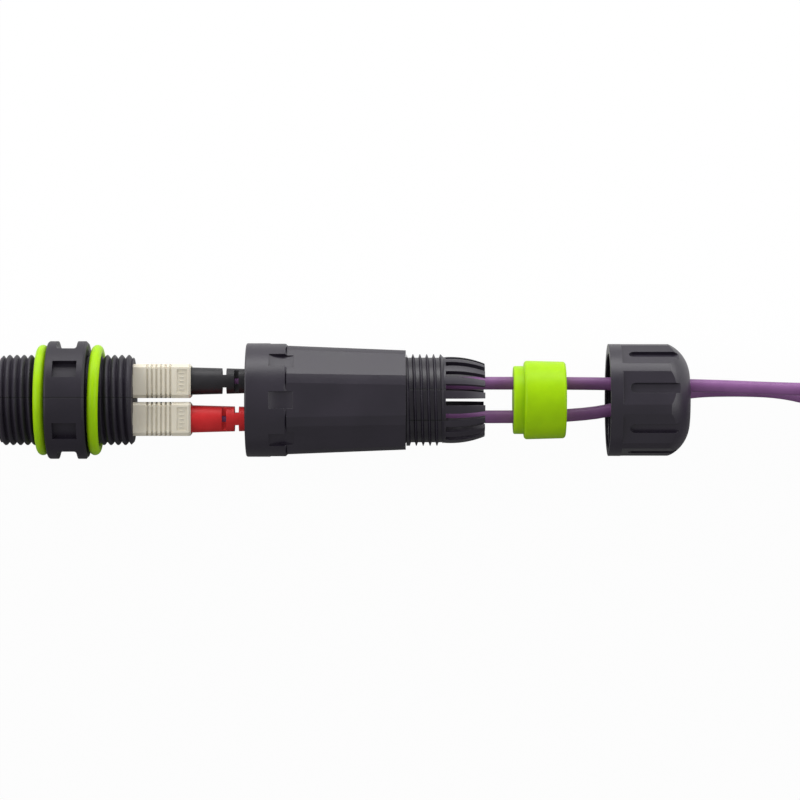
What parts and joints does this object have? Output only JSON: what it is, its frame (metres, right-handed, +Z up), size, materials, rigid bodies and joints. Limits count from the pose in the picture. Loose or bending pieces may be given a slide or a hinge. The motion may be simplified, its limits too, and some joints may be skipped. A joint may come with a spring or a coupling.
{
  "type": "waterproof fibre coupler",
  "caption": "Round threaded coupler for push-pull fibre plugs with O-rings, and its screw-on housing, cord seal and dome nut shown pulled apart along two plugged-in cords.",
  "frame": {"origin": "centre of the coupler's open mating face, on its axis", "axes": "+X along the axis, from the open mating face towards the cords; +Z up when the pieces lie on a table"},
  "size_m": [0.3345, 0.0268, 0.0259],
  "materials": {
    "coupler_plastic": "moulded, satin",
    "anthracite_plastic": "moulded, satin",
    "lime_rubber": "smooth",
    "beige_plastic": "moulded, satin",
    "frame_plastic": "moulded",
    "ceramic": "polished zirconia",
    "plated_metal": "nickel plated",
    "spring_steel": "bright drawn",
    "black_boot_rubber": "matt",
    "red_boot_rubber": "matt",
    "violet_jacket": "smooth cord jacket",
    "tie_fabric": "woven hook-and-loop strap"
  },
  "bodies": {
    "coupler": {"coupler_barrel": "coupler_plastic", "o_ring_free_side": "lime_rubber", "o_ring_cord_side": "lime_rubber", "latch_insert_free_black": "frame_plastic", "latch_insert_cord_black": "frame_plastic", "alignment_sleeve_black": "ceramic", "latch_insert_free_red": "frame_plastic", "latch_insert_cord_red": "frame_plastic", "alignment_sleeve_red": "ceramic"},
    "black_plug": {"black_frame": "frame_plastic", "black_rear_body": "frame_plastic", "black_crimp_ring": "plated_metal", "black_boot": "black_boot_rubber", "black_spring": "spring_steel", "black_cord": "violet_jacket", "black_hank": "violet_jacket", "black_hank_tie": "tie_fabric", "black_tail": "violet_jacket", "black_far_frame": "frame_plastic", "black_far_rear_body": "frame_plastic", "black_far_crimp_ring": "plated_metal", "black_far_boot": "black_boot_rubber", "black_far_spring": "spring_steel"},
    "black_grip": {"black_grip": "beige_plastic"},
    "black_ferrule": {"black_ferrule": "ceramic", "black_ferrule_holder": "plated_metal"},
    "black_far_grip": {"black_far_grip": "beige_plastic"},
    "black_far_ferrule": {"black_far_ferrule": "ceramic", "black_far_ferrule_holder": "plated_metal"},
    "red_plug": {"red_frame": "frame_plastic", "red_rear_body": "frame_plastic", "red_crimp_ring": "plated_metal", "red_boot": "red_boot_rubber", "red_spring": "spring_steel", "red_cord": "violet_jacket", "red_hank": "violet_jacket", "red_hank_tie": "tie_fabric", "red_tail": "violet_jacket", "red_far_frame": "frame_plastic", "red_far_rear_body": "frame_plastic", "red_far_crimp_ring": "plated_metal", "red_far_boot": "red_boot_rubber", "red_far_spring": "spring_steel"},
    "red_grip": {"red_grip": "beige_plastic"},
    "red_ferrule": {"red_ferrule": "ceramic", "red_ferrule_holder": "plated_metal"},
    "red_far_grip": {"red_far_grip": "beige_plastic"},
    "red_far_ferrule": {"red_far_ferrule": "ceramic", "red_far_ferrule_holder": "plated_metal"},
    "housing": {"housing": "anthracite_plastic"},
    "seal": {"cord_seal": "lime_rubber"},
    "gland_nut": {"gland_nut": "anthracite_plastic"}
  },
  "joints": [
    {"name": "black_plug_slide", "type": "slide", "parent": "coupler", "child": "black_plug", "axis": [1, 0, 0], "range_m": [0, 0.012]},
    {"name": "black_grip_slide", "type": "slide", "parent": "black_plug", "child": "black_grip", "axis": [1, 0, 0], "range_m": [0, 0.0012]},
    {"name": "black_ferrule_slide", "type": "slide", "parent": "black_plug", "child": "black_ferrule", "axis": [1, 0, 0], "range_m": [0, 0.0008], "stiffness_N_per_m": 1000, "springref_m": -0.004, "deforming": ["black_spring"]},
    {"name": "black_far_grip_slide", "type": "slide", "parent": "black_plug", "child": "black_far_grip", "axis": [-1, 0, 0], "range_m": [0, 0.0012]},
    {"name": "black_far_ferrule_slide", "type": "slide", "parent": "black_plug", "child": "black_far_ferrule", "axis": [-1, 0, 0], "range_m": [0, 0.0008], "stiffness_N_per_m": 1000, "springref_m": -0.004, "deforming": ["black_far_spring"]},
    {"name": "red_plug_slide", "type": "slide", "parent": "coupler", "child": "red_plug", "axis": [1, 0, 0], "range_m": [0, 0.012]},
    {"name": "red_grip_slide", "type": "slide", "parent": "red_plug", "child": "red_grip", "axis": [1, 0, 0], "range_m": [0, 0.0012]},
    {"name": "red_ferrule_slide", "type": "slide", "parent": "red_plug", "child": "red_ferrule", "axis": [1, 0, 0], "range_m": [0, 0.0008], "stiffness_N_per_m": 1000, "springref_m": -0.004, "deforming": ["red_spring"]},
    {"name": "red_far_grip_slide", "type": "slide", "parent": "red_plug", "child": "red_far_grip", "axis": [-1, 0, 0], "range_m": [0, 0.0012]},
    {"name": "red_far_ferrule_slide", "type": "slide", "parent": "red_plug", "child": "red_far_ferrule", "axis": [-1, 0, 0], "range_m": [0, 0.0008], "stiffness_N_per_m": 1000, "springref_m": -0.004, "deforming": ["red_far_spring"]},
    {"name": "housing_slide", "type": "slide", "parent": "coupler", "child": "housing", "axis": [1, 0, 0], "range_m": [-0.031, 0]},
    {"name": "seal_slide", "type": "slide", "parent": "housing", "child": "seal", "axis": [1, 0, 0], "range_m": [-0.0157, 0], "deforming": ["cord_seal"]},
    {"name": "nut_slide", "type": "slide", "parent": "seal", "child": "gland_nut", "axis": [1, 0, 0], "range_m": [-0.0252, 0]}
  ]
}
